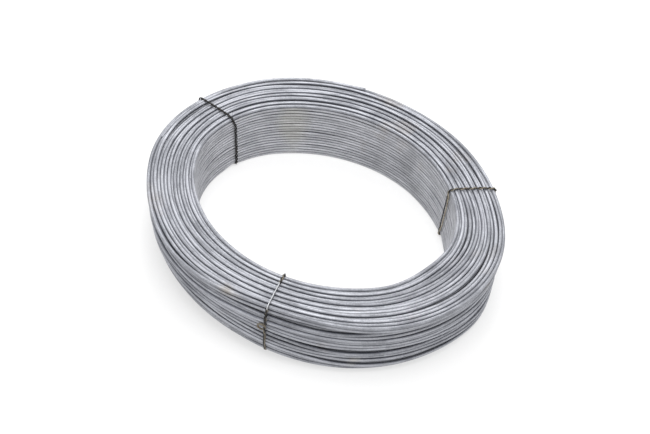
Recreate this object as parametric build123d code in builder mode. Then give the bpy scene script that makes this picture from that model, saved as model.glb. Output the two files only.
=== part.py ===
"""Coil of galvanised tension wire, lying flat and bound with three twisted ties.

Millimetres, +Z up. The coil rests on its lower end at z = 0, the long axis of its
bore along X. The coil was wound evenly and has since been pushed a little out of
round, so its bore is an oval of four tangent arcs, with the same build-up of wire
all the way round.
"""

from math import atan2, cos, degrees, radians, sin, sqrt
import os

from build123d import *

# The wire and how it is wound
wire_diameter = 4.5
turns_high = 19
layers = 15

# The bore: an oval of two end arcs and two flatter side arcs
bore_length = 360.0
bore_width = 308.0
end_radius = 130.0

# The section's outer side, where the last layers lie looser
outer_rise = 2.5
shoulder = 3.0
lower_round = 24.0

# The turns as they show on the ends: a flat crest on every other one and a groove
# between, deeper on the upper end at every fourth layer, where the wires stand apart
crest_share = 0.53
open_layers = 4

# The gaps between the bundles in which the outermost layer lies: the lowest one's
# height in the round side, and the heights of the others in the upright wall
lowest_gap = 20.0
wall_gaps = [40.0, 66.0]
gap_width = 6.0

# The ties: two strands of black annealed wire twisted together
strand_diameter = 1.6
tie_clearance = 0.25
tie_angles = {"tie_left": 175.0, "tie_right": 51.5, "tie_front": 289.0}
tie_bend = 3.0
tie_sides = 6
knot_diameter = 4.4
knot_length = 6.0
knot_drop = 16.0
tail_length = 15.0
tail_angle = 35.0

layer_pitch = wire_diameter * sin(radians(60))
coil_height = turns_high * wire_diameter
build_up = (layers - 1) * layer_pitch + wire_diameter
nesting_drop = wire_diameter / 2
gap_depth = layer_pitch
crest_width = crest_share * wire_diameter

# The four arcs of the bore meet where the line of two centres crosses them
end_centre = bore_length / 2 - end_radius
side_radius = (end_centre**2 + (bore_width / 2) ** 2 - end_radius**2) / (bore_width - 2 * end_radius)
side_centre = side_radius - bore_width / 2
meeting_angle = degrees(atan2(side_centre, end_centre))

# The ties press round the outside of the section, and lie in channels below it
tie_diameter = 2 * strand_diameter
tie_offset = tie_diameter / 2 + tie_clearance
channel_width = tie_diameter + 2 * tie_clearance
channel_height = tie_diameter + 2 * tie_clearance

# Each arc as its centre, its radius and the normal angles it runs between
bore_arcs = [
    ((end_centre, 0), end_radius, -meeting_angle, meeting_angle),
    ((0, -side_centre), side_radius, meeting_angle, 180 - meeting_angle),
    ((-end_centre, 0), end_radius, 180 - meeting_angle, 180 + meeting_angle),
    ((0, side_centre), side_radius, 180 + meeting_angle, 360 - meeting_angle),
]


def plane_on_bore(centre, radius, angle):
    """Upright plane across the section: x runs outward from the bore's wall, y runs up."""
    outward = Vector(cos(radians(angle)), sin(radians(angle)), 0)
    tangent = Vector(outward.Y, -outward.X, 0)
    return Plane(origin=Vector(*centre, 0) + outward * radius, x_dir=outward, z_dir=tangent)


def layer_place(number):
    """Distance of a layer's middle from the bore's wall."""
    return wire_diameter / 2 + number * layer_pitch


def upper_crest(number):
    """A layer's crest on the upper end: flat, or a groove between two that lie higher."""
    place = layer_place(number)
    level = coil_height + outer_rise * place / build_up
    if number % 2:
        stands_open = number % open_layers == open_layers - 1
        return [(place, level - (wire_diameter if stands_open else nesting_drop))]
    return [(place - crest_width / 2, level), (place + crest_width / 2, level)]


def lower_crest(number):
    """A layer's crest on the lower end: flat, or a groove between two others that lie lower.

    On the outer side, where the layers round upward, every other one gives a point.
    """
    place = layer_place(number)
    past_flat = place - (build_up - lower_round)
    if past_flat > 0:
        level = lower_round - sqrt(lower_round**2 - past_flat**2)
        return [] if number % 2 else [(place, level)]
    if number % 2:
        return [(place, nesting_drop)]
    return [(place - crest_width / 2, 0), (place + crest_width / 2, 0)]


def wall_gap(height):
    """The three corners of a gap in the upright wall, from its upper edge down."""
    return [
        (build_up, height + gap_width / 2),
        (build_up - gap_depth, height),
        (build_up, height - gap_width / 2),
    ]


def section_outline():
    """Closed outline of the wound section, drawn on the current plane."""
    top = coil_height + outer_rise
    edge_drop = wire_diameter / 3
    upper_layers = [n for n in range(layers) if layer_place(n) < build_up - shoulder]
    upper = [point for n in upper_layers for point in upper_crest(n)]
    lower = [point for n in reversed(range(layers)) for point in reversed(lower_crest(n))]
    gaps = [corner for height in reversed(wall_gaps) for corner in wall_gap(height)]
    Polyline(
        (0, coil_height - edge_drop),
        *upper,
        (build_up - shoulder, top),
        (build_up, top - shoulder),
        *gaps,
        (build_up, lower_round),
        (build_up - gap_depth, lowest_gap),
        *lower,
        (0, edge_drop),
        close=True,
    )


def plane_of_tie(angle):
    """The section's plane at a tie, on whichever arc the tie's normal angle falls."""
    turned = (angle + meeting_angle) % 360 - meeting_angle
    centre, radius = next((c, r) for c, r, start, end in bore_arcs if start <= turned <= end)
    return plane_on_bore(centre, radius, angle)


# A tie's path in the section's plane, from the lower corner of the bore up and over.
# Its first bend hugs the channel's edge, and its last is tight enough to enter the
# channel where that breaks out of the coil's round lower side.
rise_past_edge = outer_rise * tie_offset / build_up
tie_corners = [
    (-tie_offset, tie_offset),
    (-tie_offset, coil_height + tie_offset - rise_past_edge),
    (build_up + tie_offset, coil_height + outer_rise + tie_offset + rise_past_edge),
    (build_up + tie_offset, tie_offset),
]
channel_mouth = sqrt(channel_height * (2 * lower_round - channel_height))
lower_bend = lower_round + tie_offset - channel_mouth - tie_clearance
tie_radii = [tie_offset, tie_bend, shoulder + tie_offset, lower_bend]
knot_level = coil_height - knot_drop
knot_place = (build_up + tie_offset + tie_diameter / 4, knot_level, 0)
tail_fall = tail_length * cos(radians(tail_angle))
tail_side = tail_length * sin(radians(tail_angle))
tail_place = (knot_place[0], knot_level - tail_fall, tail_side)

# The coil: the wound section turned about each arc's own centre
with BuildPart() as wire_coil:
    for centre, radius, start, end in bore_arcs:
        with BuildSketch(plane_on_bore(centre, radius, start)):
            with BuildLine():
                section_outline()
            make_face()
        revolve(axis=Axis((*centre, 0), (0, 0, 1)), revolution_arc=end - start)
    # Channels that the ties have pressed into the lower end
    for angle in tie_angles.values():
        with BuildSketch(plane_of_tie(angle)):
            with Locations((build_up / 2, channel_height / 2)):
                Rectangle(build_up + 2 * tie_offset, channel_height)
        extrude(amount=channel_width / 2, both=True, mode=Mode.SUBTRACT)
wire_coil.part.label = "wire_coil"

# The ties: a closed loop round the section, with its knot and tail on the outer side
ties = {}
for name, angle in tie_angles.items():
    plane = plane_of_tie(angle)
    knot = plane.from_local_coords(knot_place)
    tail = plane.from_local_coords(tail_place)
    with BuildPart() as tie:
        with BuildLine(plane) as loop:
            FilletPolyline(*tie_corners, radius=tie_radii, close=True)
        with BuildSketch(Plane(origin=loop.line @ 0, z_dir=loop.line % 0)):
            RegularPolygon(tie_diameter / 2, tie_sides)
        sweep(path=loop.line)
        with BuildSketch(Plane(origin=knot, z_dir=(0, 0, 1))):
            RegularPolygon(knot_diameter / 2, tie_sides)
        extrude(amount=knot_length / 2, both=True)
        with BuildSketch(Plane(origin=knot, z_dir=tail - knot)):
            RegularPolygon(tie_diameter / 2, tie_sides)
        extrude(amount=tail_length)
    tie.part.label = name
    ties[name] = tie.part

os.makedirs("parts", exist_ok=True)
export_step(wire_coil.part, "parts/wire_coil.step")
for name, part in ties.items():
    export_step(part, f"parts/{name}.step")
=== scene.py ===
# %% [markdown]
# # A coil of galvanised tension wire
# The real thing is one long steel wire, dipped in zinc and wound on a former into a flat
# coil about fifteen layers thick, then lifted off and bound with three twisted ties.
# Nothing in it moves. The construction model gives the envelope and the places of the
# ties; this script lays the turns one by one inside it.

# %% Load the fixed frame
import math

import bpy
import numpy as np
from mathutils import Matrix, Vector
from mathutils.geometry import convex_hull_2d


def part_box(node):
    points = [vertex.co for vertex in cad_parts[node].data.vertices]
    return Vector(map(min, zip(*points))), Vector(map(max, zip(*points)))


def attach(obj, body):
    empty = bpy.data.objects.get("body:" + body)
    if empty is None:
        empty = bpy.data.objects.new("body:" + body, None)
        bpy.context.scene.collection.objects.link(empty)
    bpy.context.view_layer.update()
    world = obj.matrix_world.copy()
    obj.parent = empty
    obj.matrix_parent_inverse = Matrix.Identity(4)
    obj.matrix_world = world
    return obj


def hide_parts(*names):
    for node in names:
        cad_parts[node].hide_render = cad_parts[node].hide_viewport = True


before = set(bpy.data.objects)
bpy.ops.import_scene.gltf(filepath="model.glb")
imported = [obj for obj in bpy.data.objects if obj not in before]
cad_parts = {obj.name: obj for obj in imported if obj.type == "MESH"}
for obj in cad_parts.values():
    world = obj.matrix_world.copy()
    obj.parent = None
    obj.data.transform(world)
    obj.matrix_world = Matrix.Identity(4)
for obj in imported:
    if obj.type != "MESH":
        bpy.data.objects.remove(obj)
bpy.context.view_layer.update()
coil_low, coil_high = (Vector(corner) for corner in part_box("wire_coil"))
print("coil box", tuple(coil_low), tuple(coil_high))

# %% [markdown]
# ## The oval that every turn follows
# A coil comes off its former round, and handling pushes it a little out of round. The
# bore is then an oval, and each layer outside it runs parallel to it. Four tangent arcs
# give such an oval and all its parallels exactly: a point on any layer is the centre of
# an arc plus a radius along the arc's normal. An ellipse would not do, because the
# curves parallel to an ellipse are not ellipses.

# %% The sizes of the wire and of the coil, in metres
wire = 0.0045
layers = 15
layer_pitch = wire * math.sin(math.radians(60))
build_up = (layers - 1) * layer_pitch + wire
coil_height = 0.0855
outer_rise = 0.0025
lower_round = 0.024
end_radius = 0.130
half_length = coil_high.x - build_up
half_width = coil_high.y - build_up

# %% The four arcs, as centre, radius and the angles of the normal between which each runs
end_centre = half_length - end_radius
side_radius = (end_centre**2 + half_width**2 - end_radius**2) / (2 * (half_width - end_radius))
side_centre = side_radius - half_width
meeting = math.atan2(side_centre, end_centre)
arcs = [
    ((end_centre, 0), end_radius, -meeting, meeting),
    ((0, -side_centre), side_radius, meeting, math.pi - meeting),
    ((-end_centre, 0), end_radius, math.pi - meeting, math.pi + meeting),
    ((0, side_centre), side_radius, math.pi + meeting, 2 * math.pi - meeting),
]
print("bore", 2 * half_length, "by", 2 * half_width, "side arc radius", round(side_radius, 4))


# %% Stations at even steps round the middle of the build-up
def oval_at(distances):
    """Arc centre, bore radius and normal for each distance along the middle layer."""
    reach = build_up / 2
    lengths = [(radius + reach) * (last - first) for _, radius, first, last in arcs]
    ends = np.cumsum(lengths)
    distances = np.mod(distances, ends[-1])
    number = np.searchsorted(ends, distances, side="right")
    starts = ends - lengths
    centre = np.array([arc[0] for arc in arcs])[number]
    radius = np.array([arc[1] for arc in arcs])[number]
    first = np.array([arc[2] for arc in arcs])[number]
    angle = first + (distances - starts[number]) / (radius + reach)
    return centre, radius, angle


stations = 240
middle_length = sum((radius + build_up / 2) * (last - first) for _, radius, first, last in arcs)
station_step = middle_length / stations
arc_centre, arc_radius, normal_angle = oval_at(np.arange(stations) * station_step)
normal = np.stack([np.cos(normal_angle), np.sin(normal_angle)], axis=1)
print("middle layer", round(middle_length, 4), "m long,", stations, "stations")

# %% [markdown]
# ## Where each turn lies
# Wire wound in layers nests: every turn of a layer lies in the valley between two turns
# of the layer below. The first layers lie tight on the former, and that is why the bore's
# wall is so even. Further out the turns lie looser, in bundles with gaps between them
# that open, wander and close again on the way round.
#
# The way chosen here is to start from the ideal nest, part it along a few wandering gap
# lines, add smooth waves that grow towards the outer side, and then let the turns push
# each other apart until hardly any overlaps, at every station at once. After each push
# only slow waves along the turn are kept, because a stiff wire can't bend quickly.
# Placing the turns by noise alone would let them run through each other.

# %% The ideal nest: each turn's layer, row and place in the section
rng = np.random.default_rng(41)
open_layers = 4
# How far the odd, the open and the two outermost layers stay below the upper end
odd_drop, open_drop = 0.25 * wire, 0.3 * wire
rim_drops = {layers - 1: 0.55, layers - 2: 0.2}
# How many layers lie tight, how much looser the outermost one is, and the share of
# buried turns that is left out to give the others room
tight_layers = 5
outer_slack = 0.16
left_out = 0.15
nest = []
for layer in range(layers):
    out = wire / 2 + layer * layer_pitch
    past_flat = max(0.0, out + wire / 2 - (build_up - lower_round))
    low = lower_round - math.sqrt(max(0.0, lower_round**2 - past_flat**2))
    low += wire / 2 * (layer % 2) if past_flat == 0 else 0
    high = coil_height + outer_rise * out / build_up - odd_drop * (layer % 2)
    stands_open = layer % open_layers == open_layers - 1
    loose = 1.0 + outer_slack * max(0, layer - tight_layers) / (layers - 1 - tight_layers)
    high -= open_drop if stands_open else 0
    high -= rim_drops.get(layer, 0) * wire
    rows = int(round((high - low) / (wire * loose)))
    for row in range(rows):
        share = row / (rows - 1)
        buried = 2 < layer < layers - 3 and 2 < row < rows - 4
        if not (buried and rng.uniform() < left_out):
            up = low + wire / 2 + share * (high - low - wire)
            nest.append((layer, row, rows, out, up, high, share, low))
layer_of = np.array([n[0] for n in nest])
row_of = np.array([n[1] for n in nest])
rows_of = np.array([n[2] for n in nest])
home = np.array([(n[3], n[4]) for n in nest])
high_of, share_of, low_of = (np.array([n[i] for n in nest]) for i in (5, 6, 7))
from_top = rows_of - 1 - row_of
turns = len(nest)
print(turns, "turns,", round(turns * middle_length, 1), "m of wire")


# %% Smooth waves round the coil, and the gap lines between bundles of turns
gap_edge, gap_reach = 0.0022, 0.012


def wave(count, harmonics, size):
    """A smooth closed wave for each of count turns, as stations x count."""
    round_angle = np.linspace(0, 2 * math.pi, stations, endpoint=False)[:, None]
    total = np.zeros((stations, count))
    for harmonic in harmonics:
        phase = rng.uniform(0, 2 * math.pi, count)
        part = rng.normal(0, 1, count)
        total += part * np.sin(harmonic * round_angle + phase) / math.sqrt(len(harmonics))
    return total * size


def part_along(places, axis, middle, wander, opening, hold, rise=0.0, open_at=None):
    """Move turns away from a line that wanders round the coil, most where hold is 1.

    The gap is widest where the normal stands at the angle open_at, and highest there.
    """
    turned = normal_angle[:, None] - math.radians(open_at or 0)
    line = middle + wave(1, (1, 2, 3, 5), wander) + rise * np.cos(2 * turned)
    off = places[:, :, axis] - line
    steady = 0 if open_at is None else 0.5 * np.cos(turned)
    uneven = wave(1, (2, 3, 5), 0.6 if open_at is None else 0.3)
    width = opening * np.clip(1 + uneven + steady, 0.1, 1.8)
    near_line = np.tanh(off / gap_edge) * np.exp(-abs(off) / gap_reach)
    places[:, :, axis] += hold * width / 2 * near_line


in_rows = np.interp(from_top, (0, 1, 2, 3), (1.0, 0.8, 0.4, 0.0)) * np.clip(layer_of / 2, 0, 1)
outer_four = tuple(range(layers - 4, layers))
in_layers = np.interp(layer_of, outer_four, (0.2, 0.5, 0.8, 1))
in_layers = in_layers * np.interp(from_top, (0, 2), (0.3, 1.0))
aim = np.repeat(home[None], stations, axis=0)


def bump_at(angle, width):
    """A smooth bump round this normal angle, in degrees, as stations x 1."""
    away = np.degrees(np.angle(np.exp(1j * (normal_angle - math.radians(angle)))))
    return np.exp(-((away / width) ** 2))[:, None]


# The coil has settled unevenly: its lower side is rounder at the left front than at the
# right, its build-up is a little thicker at the far side than at the right, the bore's
# rim bulges in at the right front, the far wall leans in towards the floor, and the
# outer wall leans out towards the floor at the right.
rounding = lower_round - 0.021 * bump_at(20, 28) - 0.011 * bump_at(318, 28)
rounding = rounding + 0.014 * bump_at(258, 42)
past_flat = np.clip(home[:, 0] + wire / 2 - (build_up - rounding), 0, rounding)
low_there = rounding - np.sqrt(rounding**2 - past_flat**2)
lowest = np.where(past_flat > 0, low_there, np.minimum(low_of, wire / 2))
aim[:, :, 1] = lowest + wire / 2 + share_of * (high_of - lowest - wire)
thicker = 0.0035 * bump_at(130, 42) - 0.0045 * bump_at(66, 22) - 0.0015 * bump_at(38, 22)
thicker = thicker - 0.0022 * bump_at(218, 26) + 0.001 * bump_at(10, 25)
aim[:, :, 0] += thicker * (home[:, 0] / build_up)
bulge = 0.005 * bump_at(352, 18) + 0.002 * bump_at(22, 28)
lean = 0.0045 * bump_at(138, 50) * (1 - home[:, 1] / coil_height)
inward = bulge * (1 - home[:, 0] / build_up) + lean
flare = 0.0055 * bump_at(14, 22) * (1 - home[:, 1] / coil_height) * home[:, 0] / build_up
aim[:, :, 0] += flare - inward
for layer in (3, 7, 11):
    part_along(aim, 0, wire / 2 + layer * layer_pitch, 0.0026, 0.0044, in_rows)
for middle in (0.007, 0.021, 0.036, 0.050):
    part_along(aim, 0, middle, 0.0030, 0.0028, in_rows)
part_along(aim, 1, 0.070, 0.0010, 0.0080, in_layers, rise=0.008, open_at=275)
part_along(aim, 1, 0.039, 0.0010, 0.0075, in_layers, rise=0.003, open_at=265)
part_along(aim, 1, 0.020, 0.0010, 0.0070, in_layers, open_at=330)
for height in (0.030, 0.053, 0.077):
    part_along(aim, 1, height, 0.0040, 0.0040, in_layers)

bore_turns = layer_of == 0
aim[:, bore_turns, 0] += np.abs(wave(bore_turns.sum(), (1, 2, 3, 5, 7), 0.09 * wire))
aim[:, bore_turns, 1] += wave(bore_turns.sum(), (1, 2, 3, 5, 7), 0.035 * wire)
looseness = np.clip((layer_of - 0.5) / 6, 0, 1) ** 0.7
near_top = np.clip(1 - from_top / 3, 0, 1) * np.clip(layer_of / 2, 0, 1)
aim[:, :, 0] += wave(turns, (1, 2, 3, 5), 0.14 * wire) * looseness
aim[:, :, 1] += wave(turns, (1, 2, 3, 5), 0.16 * wire) * looseness
aim[:, :, 1] += wave(turns, (1, 2, 3, 4, 6), 0.26 * wire) * near_top
aim[:, :, 0] -= np.abs(wave(turns, (1, 2, 3, 4, 6), 0.45 * wire)) * in_layers

# %% How the ties draw the turns together, and how they lift the lowest ones
ties = {
    "tie_left": dict(angle=175.0, bore_angle=174.2, outer_angle=176.5, squeeze=0.0015, at_rim=0),
    "tie_right": dict(angle=51.5, bore_angle=51.9, outer_angle=50.4, squeeze=0.0015, at_rim=0),
    "tie_front": dict(angle=289.0, bore_angle=288.7, outer_angle=289.4, squeeze=0.006, at_rim=0.006),
}
strand = 0.0016
left_swing = -0.004
# How far along the coil a tie draws the turns in and lifts the lowest ones, how far it
# presses the uppermost ones down, and how far the lowest ones rise over it
drawn_reach, lift_reach = 0.060, 0.013
pressed_down = 0.0008
lifted = 2.3 * strand


def distance_from(angle):
    """Each station's distance from the normal at this angle, along the middle layer."""
    turned = np.angle(np.exp(1j * (normal_angle - math.radians(angle))))
    return turned * (arc_radius + build_up / 2)


tie_lift = np.zeros(stations)
for tie in ties.values():
    away = distance_from(tie["angle"])
    drawn = np.exp(-((away / drawn_reach) ** 2))[:, None]
    high_up = np.clip((home[:, 1] - 0.030) / 0.030, 0, 1)
    outward = (home[:, 0] / build_up) ** 1.5
    aim[:, :, 0] -= tie["squeeze"] * drawn * outward * high_up
    at_rim = np.clip((home[:, 1] - 0.064) / 0.020, 0, 1)
    aim[:, :, 0] -= tie["at_rim"] * drawn * outward * at_rim
    aim[:, :, 1] -= pressed_down * drawn * np.clip(1 - from_top / 5, 0, 1)
    tie_lift = np.maximum(tie_lift, lifted * np.exp(-((away / lift_reach) ** 2)))

# %% Let the turns push each other apart
touching = 2.7 * wire
# The fastest wave that the stiff wire keeps, in waves round the coil
fastest_wave = 13
rounds, firm_rounds, lift_rounds = 80, 50, 12
firm_pull, light_pull = 0.12, 0.03
main_push, lift_push = 0.6, 0.3
neighbours = []
for a in range(turns):
    near = np.hypot(*(home - home[a]).T) < touching
    near &= abs(layer_of - layer_of[a]) <= 2
    near[a] = False
    neighbours.append(np.flatnonzero(near))
most = max(len(near) for near in neighbours)
beside = np.array(
    [np.pad(near, (0, most - len(near)), constant_values=a) for a, near in enumerate(neighbours)]
)
harmonics = np.fft.rfftfreq(stations, 1 / stations)
slow_part = np.exp(-((harmonics / fastest_wave) ** 6))[:, None, None]


def pushed_apart(places):
    """One round of pushes between neighbours that lie closer than a wire's thickness."""
    across = places[:, :, None, 0] - places[:, beside, 0]
    above = places[:, :, None, 1] - places[:, beside, 1]
    gap = np.sqrt(across**2 + above**2) + np.float32(1e-9)
    push = np.clip(wire - gap, 0, None) / gap / 2
    return np.stack([(across * push).sum(2), (above * push).sum(2)], axis=-1)


def within_bounds(places, floor):
    """The former holds the first layer, and the floor and the top hold the rest."""
    places[:, :, 0] = np.maximum(places[:, :, 0], wire / 2 - inward)
    places[:, layer_of == 0] = aim[:, layer_of == 0]
    level = coil_height + outer_rise * places[:, :, 0] / build_up - wire / 2
    places[:, :, 1] = np.clip(places[:, :, 1], wire / 2 + floor, level + 0.0004)


aim = aim.astype(np.float32)
places = aim.copy()
for turn_round in range(rounds):
    pull = firm_pull if turn_round < firm_rounds else light_pull
    places += (aim - places) * pull + pushed_apart(places) * main_push
    slow_waves = np.fft.rfft(places, axis=0) * slow_part
    places = np.fft.irfft(slow_waves, stations, axis=0).astype(np.float32)
    within_bounds(places, 0)
for _ in range(lift_rounds):
    places += pushed_apart(places) * lift_push
    within_bounds(places, tie_lift[:, None])
apart = places[:, :, None] - places[:, beside]
spacing = np.hypot(apart[..., 0], apart[..., 1])
overlap = np.where(spacing > 0, np.clip(wire - spacing, 0, None), 0)
outside = (from_top < 2) | (layer_of > layers - 3) | (layer_of == 0)
print("deepest overlap", round(overlap[:, outside].max() * 1000, 2), "mm at the skin")
print("section", places.min((0, 1)), places.max((0, 1)))

# %% [markdown]
# ## The turns as meshes
# Only the turns of the outer skin can be seen, through gaps two or three deep, so only
# those are made, and a dark core fills the middle. Each turn is a round tube that closes
# on itself. Hundreds of like tubes are best made as joined meshes straight from arrays
# of points. Each face's UV holds the distance along the wire and the way round it, so
# that the finish can run along the wire.


# %% A mesh of wire, and a mesh of closed wire rings
turn_shift = 0.37


def wire_mesh(name, points, faces, uv, tones, smooth):
    """A piece made of wire, with its UVs along the wire and a tone for each face."""
    mesh = bpy.data.meshes.new(name)
    mesh.from_pydata(points, [], faces)
    along = mesh.uv_layers.new(name="along_wire")
    along.data.foreach_set("uv", np.asarray(uv, np.float32).reshape(-1))
    tone = mesh.attributes.new("turn_tone", "FLOAT", "FACE")
    tone.data.foreach_set("value", np.asarray(tones, np.float32))
    mesh.polygons.foreach_set("use_smooth", np.asarray(smooth, bool))
    mesh.update()
    piece = bpy.data.objects.new(name, mesh)
    bpy.context.collection.objects.link(piece)
    return piece


def wire_rings(name, chosen, sides):
    """Round tubes along the chosen turns, joined in one mesh."""
    around = 2 * math.pi * np.arange(sides) / sides
    lines = places[:, chosen].transpose(1, 0, 2)
    out = lines[:, :, 0, None] + wire / 2 * np.cos(around)
    up = lines[:, :, 1, None] + wire / 2 * np.sin(around)
    reach = arc_radius[None, :, None] + out
    points = np.empty((*out.shape, 3))
    points[..., 0] = arc_centre[None, :, 0, None] + reach * normal[None, :, 0, None]
    points[..., 1] = arc_centre[None, :, 1, None] + reach * normal[None, :, 1, None]
    points[..., 2] = up
    ring, station, side = np.meshgrid(
        np.arange(len(chosen)), np.arange(stations), np.arange(sides), indexing="ij"
    )
    next_station, next_side = (station + 1) % stations, (side + 1) % sides

    def number(at_station, at_side):
        return (ring * stations + at_station) * sides + at_side

    corners = [
        number(station, side),
        number(next_station, side),
        number(next_station, next_side),
        number(station, next_side),
    ]
    faces = np.stack(corners, axis=-1).reshape(-1, 4)
    shift = np.arange(len(chosen))[:, None, None] * turn_shift
    u_here, u_next = station * station_step + shift, (station + 1) * station_step + shift
    v_here, v_next = side / sides + 0 * shift, (side + 1) / sides + 0 * shift
    pairs = [(u_here, v_here), (u_next, v_here), (u_next, v_next), (u_here, v_next)]
    uv = np.stack([np.stack(pair, -1) for pair in pairs], axis=-2)
    tones = np.repeat(rng.uniform(0, 1, len(chosen)), stations * sides)
    print(name, len(chosen), "turns", len(faces) * 2, "triangles")
    return wire_mesh(name, points.reshape(-1, 3), faces, uv, tones, np.ones(len(faces)))


# %% The skins of the coil
is_rim = (from_top == 0) & ((layer_of == 0) | (layer_of == layers - 1))
is_bore = ~is_rim & (layer_of == 0)
is_upper = ~is_rim & ~is_bore & (from_top <= 1) & (layer_of < layers - 1)
is_outer = ~is_rim & ~is_bore & ~is_upper & (layer_of >= layers - 3)
is_lower = ~is_rim & ~is_bore & ~is_upper & ~is_outer & (row_of <= 1)
is_under = ~is_rim & ~is_bore & ~is_outer & (from_top == 2)
skins = {
    "rim_turns": (is_rim, 12),
    "bore_turns": (is_bore, 10),
    "upper_turns": (is_upper, 10),
    "outer_turns": (is_outer, 10),
    "lower_turns": (is_lower, 8),
    "turns_under_the_upper": (is_under, 6),
}
wire_pieces = []
for name, (mask, sides) in skins.items():
    wire_pieces.append(wire_rings(name, np.flatnonzero(mask), sides))

# %% [markdown]
# ## The dark core
# Between the turns of the skin one looks into the coil, where more turns lie in the
# dark. A plain ring stands for them, painted near black as painted shade. It is made
# as a maker would turn it: one upright rectangle, spun about the centre of each arc in
# turn, so that it follows the oval.


# %% A rectangle spun round the oval
def clear_selection():
    if bpy.context.object and bpy.context.object.mode != "OBJECT":
        bpy.ops.object.mode_set(mode="OBJECT")
    bpy.ops.object.select_all(action="DESELECT")


clear_selection()
core_out = (1.6 * wire, build_up - 2.6 * wire)
core_up = (2.0 * wire, coil_height - 2.6 * wire)
core_steps = 24
(start_x, start_y), start_radius, start_angle, _ = arcs[0]
bpy.ops.mesh.primitive_plane_add(size=1, location=(0, 0, 0))
core = bpy.context.object
core.name = core.data.name = "core"
turned = Matrix.Rotation(start_angle, 4, "Z")
for vertex in core.data.vertices:
    out = core_out[0] if vertex.co.x < 0 else core_out[1]
    up = core_up[0] if vertex.co.y < 0 else core_up[1]
    vertex.co = turned @ Vector((start_radius + out, 0, up))
    vertex.co += Vector((start_x, start_y, 0))
bpy.ops.object.mode_set(mode="EDIT")
bpy.ops.mesh.select_all(action="SELECT")
bpy.ops.mesh.delete(type="ONLY_FACE")
bpy.ops.mesh.select_all(action="SELECT")
for centre, radius, first_angle, last_angle in arcs:
    bpy.ops.mesh.spin(
        steps=core_steps,
        angle=first_angle - last_angle,
        center=(*centre, 0),
        axis=(0, 0, 1),
        use_auto_merge=False,
    )
bpy.ops.mesh.select_all(action="SELECT")
bpy.ops.mesh.remove_doubles(threshold=0.0005)
bpy.ops.mesh.delete_loose()
bpy.ops.mesh.select_all(action="SELECT")
bpy.ops.mesh.normals_make_consistent(inside=False)
bpy.ops.object.mode_set(mode="OBJECT")
print("core", len(core.data.polygons), "faces")

# %% [markdown]
# ## The ties
# Each tie is thin black annealed wire, doubled, twisted and drawn tight round the
# section. Under tension a wire takes the shortest way round, and that is the convex hull
# of the turns that it crosses. So the tie's path is that hull, one tie radius further
# out, and the two strands wind round the path like a screw's thread. Where a tie leans
# in the photograph, its angle shifts evenly from the bore to the outer side.


# %% Paths: resampling, frames along them, and round tubes on them
def even_steps(points, step):
    """The same path with its points at even steps, and their distances along it."""
    gaps = np.linalg.norm(np.diff(points, axis=0), axis=1)
    along = np.concatenate([[0], np.cumsum(gaps)])
    count = max(2, int(round(along[-1] / step)))
    at = np.linspace(0, along[-1], count + 1)
    columns = [np.interp(at, along, column) for column in points.T]
    return np.stack(columns, axis=1), at


def frames_along(points):
    """Two cross directions at each point, carried along without twist."""
    ahead = np.gradient(points, axis=0)
    ahead /= np.linalg.norm(ahead, axis=1)[:, None]
    side = np.empty_like(ahead)
    start = np.cross(ahead[0], (0.31, 0.22, 0.93))
    side[0] = start / np.linalg.norm(start)
    for i in range(1, len(ahead)):
        carried = side[i - 1] - ahead[i] * (side[i - 1] @ ahead[i])
        side[i] = carried / np.linalg.norm(carried)
    return side, np.cross(ahead, side)


def tubes(name, paths, radii, tones, sides):
    """Open round tubes with capped ends, joined in one mesh."""
    around = 2 * math.pi * np.arange(sides) / sides
    cosines, sines = np.cos(around)[None, :, None], np.sin(around)[None, :, None]
    points, faces, uvs, face_tones, count = [], [], [], [], 0
    for path, radius, tone in zip(paths, radii, tones):
        tone = np.broadcast_to(tone, len(path))
        side, other = frames_along(path)
        ring = side[:, None] * cosines + other[:, None] * sines
        points.append((path[:, None] + radius * ring).reshape(-1, 3))
        run = np.concatenate([[0], np.cumsum(np.linalg.norm(np.diff(path, axis=0), axis=1))])
        for i in range(len(path) - 1):
            for j in range(sides):
                k = (j + 1) % sides
                a, b = count + i * sides, count + (i + 1) * sides
                faces.append((a + j, a + k, b + k, b + j))
                low, high = j / sides, (j + 1) / sides
                uvs += [(run[i], low), (run[i], high), (run[i + 1], high), (run[i + 1], low)]
            face_tones += [tone[i]] * sides
        last = count + (len(path) - 1) * sides
        faces.append(tuple(count + j for j in reversed(range(sides))))
        faces.append(tuple(last + j for j in range(sides)))
        uvs += [(0, 0)] * (2 * sides)
        face_tones += [tone[0], tone[-1]]
        count += len(path) * sides
    smooth = [len(face) == 4 for face in faces]
    print(name, len(paths), "tubes", sum(len(face) - 2 for face in faces), "triangles")
    return wire_mesh(name, np.concatenate(points), faces, uvs, face_tones, smooth)


# %% The path of a tie round the turns at its place
def in_space(tie, outs, ups, shift=0.0):
    """Points in space from places in the section, at the tie's leaning angle."""
    lean = np.clip(outs / build_up, -0.05, 1.05)
    angle = np.radians(tie["bore_angle"] + (tie["outer_angle"] - tie["bore_angle"]) * lean)
    near = int(np.argmin(abs(distance_from(tie["angle"]))))
    centre, radius = arc_centre[near], arc_radius[near]
    across = np.stack([np.cos(angle), np.sin(angle)], axis=1)
    sideways = np.stack([-np.sin(angle), np.cos(angle)], axis=1)
    flat = centre + across * (radius + outs)[:, None] + sideways * np.reshape(shift, (-1, 1))
    return np.column_stack([flat, ups])


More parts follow.
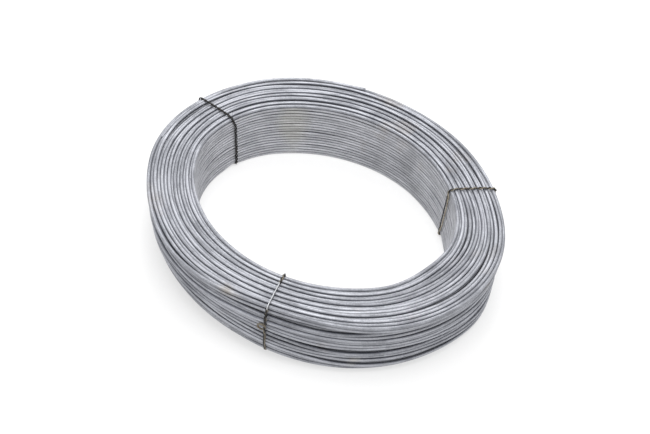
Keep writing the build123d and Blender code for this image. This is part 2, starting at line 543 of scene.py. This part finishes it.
def tie_path(tie, knot_up):
    """The hull of the turns, one tie radius out, from the knot up, over, under and back."""
    near = int(np.argmin(abs(distance_from(tie["angle"]))))
    around = np.linspace(0, 2 * math.pi, 32, endpoint=False)
    circle = (wire / 2 + strand) * np.stack([np.cos(around), np.sin(around)], 1)
    spots = (places[near][:, None] + circle).reshape(-1, 2)
    hull = np.array([spots[i] for i in convex_hull_2d([Vector(spot) for spot in spots])])
    if np.cross(hull[1] - hull[0], hull[2] - hull[1]) < 0:
        hull = hull[::-1]
    hull, _ = even_steps(np.vstack([hull, hull[:1]]), 0.001)
    hull = hull[:-1]
    on_wall = hull[:, 0] > build_up * 0.6
    first = np.flatnonzero(on_wall)[np.argmin(abs(hull[on_wall][:, 1] - knot_up))]
    return np.roll(hull, -first, axis=0)


# %% Each tie: two twisted strands round the coil, and a twisted tail that hooks or curls
twist_pitch, tail_pitch = 0.0125, 0.0062
loose_twist = 1.2
strand_step = 0.0009
# The front tie lies on the coil's upper end above the first level, and its strands lie
# side by side below the second. One of the right tie's strands swings out in the bore.
upper_end_level, side_by_side_level = 0.086, 0.050
wide_apart = -5.0
# The curl of the front tail: its radius, its first angle and how far it runs, in degrees
curl, curl_start, curl_runs = 0.0041, 15, 330
# The tones of a strand, from black scale over rust and beige to a light grey that is a painted
# highlight
black, dark, rusty, mottled, beige_strand, highlight_strand = 0.0, 0.1, 0.3, 0.32, 0.6, 1.0
tie_pieces = {}
for name, tie in ties.items():
    front = name == "tie_front"
    knot_up = coil_height - (0.007 if front else 0.016)
    flat, along = even_steps(tie_path(tie, knot_up), strand_step)
    below_rim = np.clip((coil_height - 0.003 - flat[:, 1]) / 0.010, 0, 1)
    below_rim = below_rim * np.clip(1 - flat[:, 0] / 0.03, 0, 1)
    middle = in_space(tie, flat[:, 0], flat[:, 1], left_swing * below_rim * (name == "tie_left"))
    ahead = np.gradient(middle, axis=0)
    ahead /= np.linalg.norm(ahead, axis=1)[:, None]
    sideways = in_space(tie, flat[:, 0], flat[:, 1], 1.0) - in_space(tie, flat[:, 0], flat[:, 1])
    outward = np.cross(sideways, ahead)
    outward /= np.linalg.norm(outward, axis=1)[:, None]
    turned = 2 * math.pi * along / twist_pitch
    down_bore = (flat[:, 0] < 0) & (flat[:, 1] > 0.004) & (flat[:, 1] < coil_height - 0.004)
    paths, tones, radii = [], [], []
    for number, phase in enumerate((0, math.pi)):
        thick = strand / 2 * (0.9 if front and number else 1.0)
        spin_out, spin_side = np.sin(turned + phase), np.cos(turned + phase)
        if front:
            on_upper_end = flat[:, 1] > upper_end_level
            straight = np.clip((flat[:, 0] - 0.014) / 0.006, 0, 1) * on_upper_end
            spin_out = spin_out * (1 - straight) + straight * (0.8 if number else -0.9)
            spin_side = spin_side * (1 - straight) + straight * (0.1 if number else -0.3)
            low_wall = np.clip((side_by_side_level - flat[:, 1]) / 0.006, 0, 1)
            low_wall = low_wall * (flat[:, 0] > build_up / 2)
            spin_out = spin_out * (1 - low_wall) - low_wall
            spin_side = spin_side * (1 - low_wall) + low_wall * (0.75 if number else -0.75)
        if name == "tie_right":
            from_bends = np.minimum(flat[:, 1] - 0.004, coil_height - flat[:, 1])
            apart = np.where(down_bore, np.clip(from_bends / 0.02, 0, 1), 0)
            spin_out = spin_out * (1 - apart)
            spin_side = spin_side * (1 - apart) + apart * (wide_apart if number else 0.2)
        if name == "tie_left":
            spin_side = spin_side * (1 + 0.5 * below_rim)
        spin_side = spin_side * loose_twist
        path = middle + strand / 2 * (outward * spin_out[:, None] + sideways * spin_side[:, None])
        paths.append(path)
        radii.append(thick)
        strand_tone = np.full(len(path), dark)
        # On the upper end one strand of the front tie is painted light grey as a painted highlight
        if front and number:
            strand_tone = np.where(on_upper_end & (flat[:, 0] > 0.016), highlight_strand, rusty)
        if name == "tie_right" and number:
            strand_tone = np.where(down_bore, beige_strand, mottled)
        tones.append(strand_tone)
    tail_runs = 0.019 if front else 0.010
    hook = 0.023 if front else 0.008
    steps = np.linspace(0, 1, 60)
    for number, phase in enumerate((0, math.pi)):
        fall = steps * (tail_runs + hook * (0.92 if number else 1.0))
        bend = np.clip((fall - tail_runs) / hook, 0, 1)
        drop = np.minimum(fall, tail_runs) + 0.45 * hook * bend
        aside = -0.0022 * np.clip(fall / 0.004, 0, 1) - 0.97 * hook * bend**1.3
        if front:
            round_curl = np.radians(curl_start + curl_runs * bend)
            climb = np.sin(round_curl) - math.sin(math.radians(curl_start))
            drop = np.minimum(fall, tail_runs) - curl * climb
            aside = -0.0005 + curl * (np.cos(round_curl) - 1)
        wall = build_up + strand * 1.2 - (0.0045 if front else 0.0012)
        wall = wall + 0.0022 * np.clip(fall / 0.003, 0, 1) + 0.0016 * bend
        spin = 2 * math.pi * fall / tail_pitch + phase
        outs = wall + strand / 2 * np.sin(spin)
        shift = aside + strand / 2 * np.cos(spin)
        path = in_space(tie, outs, knot_up - drop, shift)
        path, run_of_tail = even_steps(path, strand_step)
        paths.append(path)
        radii.append(strand / 2)
        tones.append(np.where(run_of_tail > tail_runs, rusty, black))
    tie_pieces[name] = tubes(name + "_strands", paths, radii, tones, 8)

# %% [markdown]
# ## The loose end of the wire
# At the far side the last turn doesn't go right round: it lies in the groove between the
# two outermost ones, and its cut end stands up a little from the rim. Its place follows
# from the two turns under it, because a round wire in a groove touches both.

# %% A part turn in the outermost groove of the upper end
end_angle = math.radians(111.35)
end_runs, end_fades = 0.30, 0.05
end_rise, end_bends = 0.0012, 0.007
least_rise = wire / 5
crest_turn = [
    int(np.flatnonzero((layer_of == layer) & (from_top == 0))[0])
    for layer in (layers - 2, layers - 1)
]
inner_crest, outer_crest = (places[:, turn].astype(float) for turn in crest_turn)
last_station = int(np.argmin(abs(normal_angle - end_angle)))
run = last_station + np.arange(int(end_runs / station_step) + 1)
apart = outer_crest[run] - inner_crest[run]
spread = np.linalg.norm(apart, axis=1)
rise = np.sqrt(np.clip(wire**2 - (spread / 2) ** 2, least_rise**2, None))
before_end = (run - last_station) * station_step
raised = end_rise * np.exp(-((before_end / end_bends) ** 2))
rise = rise * np.clip((end_runs - before_end) / end_fades, 0, 1) + raised
groove = (inner_crest[run] + outer_crest[run]) / 2
outs = groove[:, 0] - apart[:, 1] / spread * rise
ups = groove[:, 1] + apart[:, 0] / spread * rise
reach = arc_radius[run] + outs
end_path = np.column_stack([arc_centre[run] + normal[run] * reach[:, None], ups])
wire_end = tubes("loose_wire_end", [even_steps(end_path, 0.006)[0]], [wire / 2], [0.5], 12)

# %% [markdown]
# ## The galvanised finish
# Hot-dip zinc weathers to a dull bluish grey. It isn't even: the coating lies in long
# soft streaks along the wire, one turn is a little lighter than the next, and handling
# leaves darker patches and a few faint brown stains. The finish is one metal with a
# fairly rough gloss. Its colour comes from slow noise in the object's own space, for
# patches, and from noise stretched along the wire's length, for streaks. A painted
# shade darkens each turn away from its crown, where it meets the next one.


# %% Short ways to add and join shader nodes
def new_material(name):
    material = bpy.data.materials.new(name)
    material.use_nodes = True
    return material, material.node_tree


def add(tree, kind, inputs=None, **settings):
    node = tree.nodes.new(kind)
    for key, value in settings.items():
        setattr(node, key, value)
    for key, value in (inputs or {}).items():
        if isinstance(value, bpy.types.NodeSocket):
            tree.links.new(value, node.inputs[key])
        else:
            node.inputs[key].default_value = value
    return node


def ramp(tree, value, low, high, low_value=0.0, high_value=1.0):
    """A number that runs from low_value to high_value as value runs from low to high."""
    sockets = {0: value, 1: low, 2: high, 3: low_value, 4: high_value}
    return add(tree, "ShaderNodeMapRange", sockets).outputs[0]


def math_node(tree, kind, a, b):
    return add(tree, "ShaderNodeMath", {0: a, 1: b}, operation=kind).outputs[0]


def mixed(tree, share, first, second):
    sockets = {0: share, 6: first, 7: second}
    return add(tree, "ShaderNodeMix", sockets, data_type="RGBA").outputs[2]


def noise(tree, place, scale, detail=2.0, rough=0.5):
    sockets = {"Vector": place, "Scale": scale, "Detail": detail, "Roughness": rough}
    return add(tree, "ShaderNodeTexNoise", sockets).outputs["Fac"]


# %% Galvanised wire
# A near-black blue that is painted shade in the valleys between turns, and a faint brown for real
# stains
painted_valley_shade, faint_brown = (0.060, 0.064, 0.088, 1), (0.30, 0.24, 0.17, 1)


def spot(angle, out, up):
    """A point of the coil at this normal angle, in degrees, out from the bore and up."""
    near = int(np.argmin(abs(normal_angle - math.radians(angle))))
    flat = arc_centre[near] + normal[near] * (arc_radius[near] + out)
    return (float(flat[0]), float(flat[1]), up)


def galvanised(name, low, high, crown, shade_starts, shade_full, valley, marks=(), squat=1.0):
    """The zinc finish between two greys, with streaks, patches, stains and painted shade in valleys.

    The crown is the side of the wire that shows. A painted shade darkens each turn away
    from it, between the two given parts of a turn; each mark is a stain's place, reach,
    strength and colour, and squat below 1 makes it taller than wide.
    """
    material, tree = new_material(name)
    shader = tree.nodes["Principled BSDF"]
    place = add(tree, "ShaderNodeTexCoord").outputs["Object"]
    along = add(tree, "ShaderNodeUVMap", uv_map="along_wire").outputs["UV"]
    stretched = add(tree, "ShaderNodeMapping", {0: along, "Scale": (28, 1.2, 1)}).outputs[0]
    tone = add(tree, "ShaderNodeAttribute", attribute_name="turn_tone").outputs["Fac"]
    patches = noise(tree, place, 14, 3, 0.6)
    streaks = noise(tree, stretched, 1.0, 4, 0.65)
    lined = add(tree, "ShaderNodeMapping", {0: along, "Scale": (18, 22, 1)}).outputs[0]
    fine_lines = noise(tree, lined, 1.0, 2, 0.6)
    grain = noise(tree, place, 520, 2, 0.6)
    level = ramp(tree, streaks, 0.3, 0.7, 0.1, 0.9)
    shades = [
        (patches, 0.3, 0.7, 0.22),
        (tone, 0, 1, 0.22),
        (grain, 0.35, 0.65, 0.18),
        (fine_lines, 0.35, 0.65, 0.36),
    ]
    for value, first, last, weight in shades:
        shade = ramp(tree, value, first, last, -weight, weight)
        level = math_node(tree, "ADD", level, shade)
    colour = mixed(tree, level, low, high)
    round_wire = add(tree, "ShaderNodeSeparateXYZ", {0: along}).outputs["Y"]
    off_crown = math_node(tree, "SUBTRACT", round_wire, crown)
    half_turns = {0: off_crown, 1: 0.5, 2: -0.5}
    wrapped = add(tree, "ShaderNodeMath", half_turns, operation="WRAP").outputs[0]
    from_crown = math_node(tree, "ABSOLUTE", wrapped, 0.0)
    # Painted shade: each turn darkens away from its crown, towards where it meets the next one
    shade_in_valley = ramp(tree, from_crown, shade_starts, shade_full, 0, valley)
    colour = mixed(tree, shade_in_valley, colour, painted_valley_shade)
    stain = ramp(tree, noise(tree, place, 9, 4, 0.65), 0.62, 0.78, 0, 0.35)
    colour = mixed(tree, stain, colour, faint_brown)
    squashed = add(tree, "ShaderNodeMapping", {0: place, "Scale": (1, 1, squat)}).outputs[0]
    for (x, y, z), reach, strength, tint in marks:
        centre = (x, y, z * squat)
        ends = {0: squashed, 1: centre}
        away = add(tree, "ShaderNodeVectorMath", ends, operation="DISTANCE").outputs["Value"]
        wobble = ramp(tree, patches, 0.3, 0.7, -0.5 * reach, 0.5 * reach)
        ragged = math_node(tree, "ADD", away, wobble)
        colour = mixed(tree, ramp(tree, ragged, 0.2 * reach, reach, strength, 0), colour, tint)
    tree.links.new(colour, shader.inputs["Base Color"])
    tree.links.new(ramp(tree, streaks, 0.25, 0.75, 0.62, 0.46), shader.inputs["Roughness"])
    shader.inputs["Metallic"].default_value = 0.4
    bump = add(tree, "ShaderNodeBump", {"Height": grain, "Strength": 0.35, "Distance": 0.0002})
    tree.links.new(bump.outputs[0], shader.inputs["Normal"])
    return material


darker, lighter = (0.185, 0.191, 0.212, 1), (0.455, 0.466, 0.505, 1)
brown, yellow = (0.26, 0.22, 0.16, 1), (0.52, 0.50, 0.37, 1)
dull, worn = (0.24, 0.245, 0.26, 1), (0.62, 0.60, 0.54, 1)
top_marks = [
    (spot(276, 0.054, 0.087), 0.013, 0.30, brown),
    (spot(278.5, 0.057, 0.085), 0.013, 0.34, brown),
    (spot(281, 0.059, 0.083), 0.011, 0.26, brown),
    (spot(313, build_up, 0.022), 0.013, 0.5, worn),
]
bore_marks = [
    (spot(136.5, 0, 0.045), 0.024, 0.22, yellow),
    (spot(81, 0, 0.056), 0.018, 0.5, dull),
    (spot(74, 0, 0.027), 0.015, 0.5, dull),
    (spot(97, 0, 0.020), 0.012, 0.4, dull),
]
outward_side, upper_side, bore_side, lower_side = 0.0, 0.25, 0.5, 0.75
greys = (darker, lighter)
# After the side that shows: where the painted valley shade begins, where it is full, and its
# strength
rim_zinc = galvanised("galvanised_rim", *greys, upper_side, 0.27, 0.34, 0.7, top_marks)
top_zinc = galvanised("galvanised_top", *greys, upper_side, 0.145, 0.185, 0.7, top_marks)
lower_zinc = galvanised("galvanised_underside", *greys, lower_side, 0.145, 0.185, 0.7)
outer_zinc = galvanised("galvanised_outer", *greys, outward_side, 0.135, 0.18, 0.6, top_marks)
end_zinc = galvanised("galvanised_end", *greys, outward_side, 0.3, 0.5, 0.0)
# The bore's turns get lighter greys than the rest of the zinc, as painted light
painted_light_bore_greys = ((0.335, 0.34, 0.362, 1), (0.59, 0.595, 0.63, 1))
bore_zinc = galvanised("galvanised_bore", *painted_light_bore_greys, bore_side, 0.08, 0.22, 0.8, bore_marks, 0.35)
# The core's near-black colour is painted shade for the grey turns deep in the coil
core_painted_shade, dark_tree = new_material("core_zinc_painted_shade")
dark_shader = dark_tree.nodes["Principled BSDF"]
dark_shader.inputs["Base Color"].default_value = (0.05, 0.05, 0.055, 1)
dark_shader.inputs["Roughness"].default_value = 0.8

# %% Annealed tie wire, rusting in places, with a painted highlight on one strand
tie_metal, tree = new_material("annealed_tie_wire")
shader = tree.nodes["Principled BSDF"]
place = add(tree, "ShaderNodeTexCoord").outputs["Object"]
strand_tone = add(tree, "ShaderNodeAttribute", attribute_name="turn_tone").outputs["Fac"]
rust = ramp(tree, noise(tree, place, 160, 3, 0.6), 0.5, 0.66, 0, 0.8)
black_scale, beige = (0.016, 0.015, 0.015, 1), (0.42, 0.37, 0.28, 1)
highlight_grey, rust_brown = (0.50, 0.51, 0.53, 1), (0.13, 0.085, 0.045, 1)
scale_colour = mixed(tree, ramp(tree, strand_tone, dark, beige_strand), black_scale, beige)
# The highest tones go from beige to a light grey that is a painted highlight
highlight_share = ramp(tree, strand_tone, beige_strand, highlight_strand)
scale_colour = mixed(tree, highlight_share, scale_colour, highlight_grey)
rust = math_node(tree, "MULTIPLY", rust, ramp(tree, strand_tone, dark, rusty, 0.15, 1))
rust = math_node(tree, "MULTIPLY", rust, ramp(tree, strand_tone, beige_strand, 0.9, 1, 0))
tie_colour = mixed(tree, rust, scale_colour, rust_brown)
tree.links.new(tie_colour, shader.inputs["Base Color"])
shader.inputs["Metallic"].default_value = 0.4
shader.inputs["Roughness"].default_value = 0.55

# %% Give each piece its finish, its node and its slot
zinc_for = {
    "rim_turns": rim_zinc,
    "bore_turns": bore_zinc,
    "outer_turns": outer_zinc,
    "lower_turns": lower_zinc,
    "loose_wire_end": end_zinc,
}
wire_pieces.append(wire_end)
for piece in wire_pieces:
    piece.data.materials.append(zinc_for.get(piece.name, top_zinc))
core.data.materials.append(core_painted_shade)
for piece in (*wire_pieces, core):
    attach(piece, "root")
    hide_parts("wire_coil")
for name, piece in tie_pieces.items():
    piece.data.materials.append(tie_metal)
    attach(piece, "root")
    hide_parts(name)

# %% [markdown]
# ## Floor, light and camera
# The floor is plain and pale. A large soft lamp above, a weaker one behind on the left
# and an even white surrounding light give wire its soft bright line on top and its
# darker underside. Wire that runs towards the camera shines only with the lamp behind.
# The camera stands where the photograph's stood.

# %% Floor and backdrop
clear_selection()
bpy.ops.mesh.primitive_plane_add(size=8, location=(0, 0, 0))
floor = bpy.context.object
floor.name = "floor"
pale, pale_tree = new_material("pale_floor")
pale_shader = pale_tree.nodes["Principled BSDF"]
pale_shader.inputs["Base Color"].default_value = (0.9, 0.9, 0.9, 1)
pale_shader.inputs["Roughness"].default_value = 0.9
white = add(pale_tree, "ShaderNodeEmission", {"Color": (1, 1, 1, 1), "Strength": 1.0})


def seen_ray(tree):
    """One where a ray comes from the camera, a gloss or a glass, and nothing else."""
    path_kind = add(tree, "ShaderNodeLightPath").outputs
    seen = math_node(tree, "MAXIMUM", path_kind["Is Camera Ray"], path_kind["Is Glossy Ray"])
    return math_node(tree, "MAXIMUM", seen, path_kind["Is Transmission Ray"])


white_share = 0.6
partly_white = math_node(pale_tree, "MULTIPLY", seen_ray(pale_tree), white_share)
blended = {0: partly_white, 1: pale_shader.outputs[0], 2: white.outputs[0]}
blend = add(pale_tree, "ShaderNodeMixShader", blended)
pale_tree.links.new(blend.outputs[0], pale_tree.nodes["Material Output"].inputs["Surface"])
floor.data.materials.append(pale)

# %% Light
scene = bpy.context.scene
scene.view_settings.view_transform = "Standard"
world = bpy.data.worlds.new("studio")
scene.world = world
world.use_nodes = True
sky = world.node_tree
background = sky.nodes["Background"]
background.inputs["Color"].default_value = (1, 1, 1, 1)
surround, backdrop_white = 0.78, 1.0
light_level = ramp(sky, seen_ray(sky), 0, 1, surround, backdrop_white)
sky.links.new(light_level, background.inputs["Strength"])

# Each lamp as its place, its power and its width
lamps = [((0.08, -0.2, 2.1), 27, 1.1), ((-0.75, 1.0, 1.7), 15, 0.9)]
for stand, energy, size in lamps:
    clear_selection()
    bpy.ops.object.light_add(type="AREA", location=stand)
    lamp = bpy.context.object
    lamp.data.energy = energy
    lamp.data.size = size
    lamp.rotation_euler = (-lamp.location).to_track_quat("-Z", "Y").to_euler()

# %% The camera
picture_width, sensor = 650, 36
lens_pixels = 846.6
distance = 1.115
elevation = math.radians(45.1)
roll = math.radians(5.886)
azimuth = math.radians(36.6)
shift_pixels = (-2.81, -5.99)
mid_height = Vector((0, 0, coil_height / 2))
level_back = Vector((math.sin(azimuth), -math.cos(azimuth), 0))
back = level_back * math.cos(elevation) + Vector((0, 0, math.sin(elevation)))
right = Vector((math.cos(azimuth), math.sin(azimuth), 0))
up = back.cross(right)
camera_right = math.cos(roll) * right + math.sin(roll) * up
camera_up = -math.sin(roll) * right + math.cos(roll) * up
camera_data = bpy.data.cameras.new("camera")
camera = bpy.data.objects.new("camera", camera_data)
bpy.context.collection.objects.link(camera)
turned = Matrix((camera_right, camera_up, back)).transposed().to_4x4()
camera.matrix_world = Matrix.Translation(mid_height + back * distance) @ turned
camera_data.sensor_width = sensor
camera_data.lens = lens_pixels / picture_width * sensor
camera_data.shift_x = -shift_pixels[0] / picture_width
camera_data.shift_y = shift_pixels[1] / picture_width
camera_data.clip_start = 0.05
scene.camera = camera
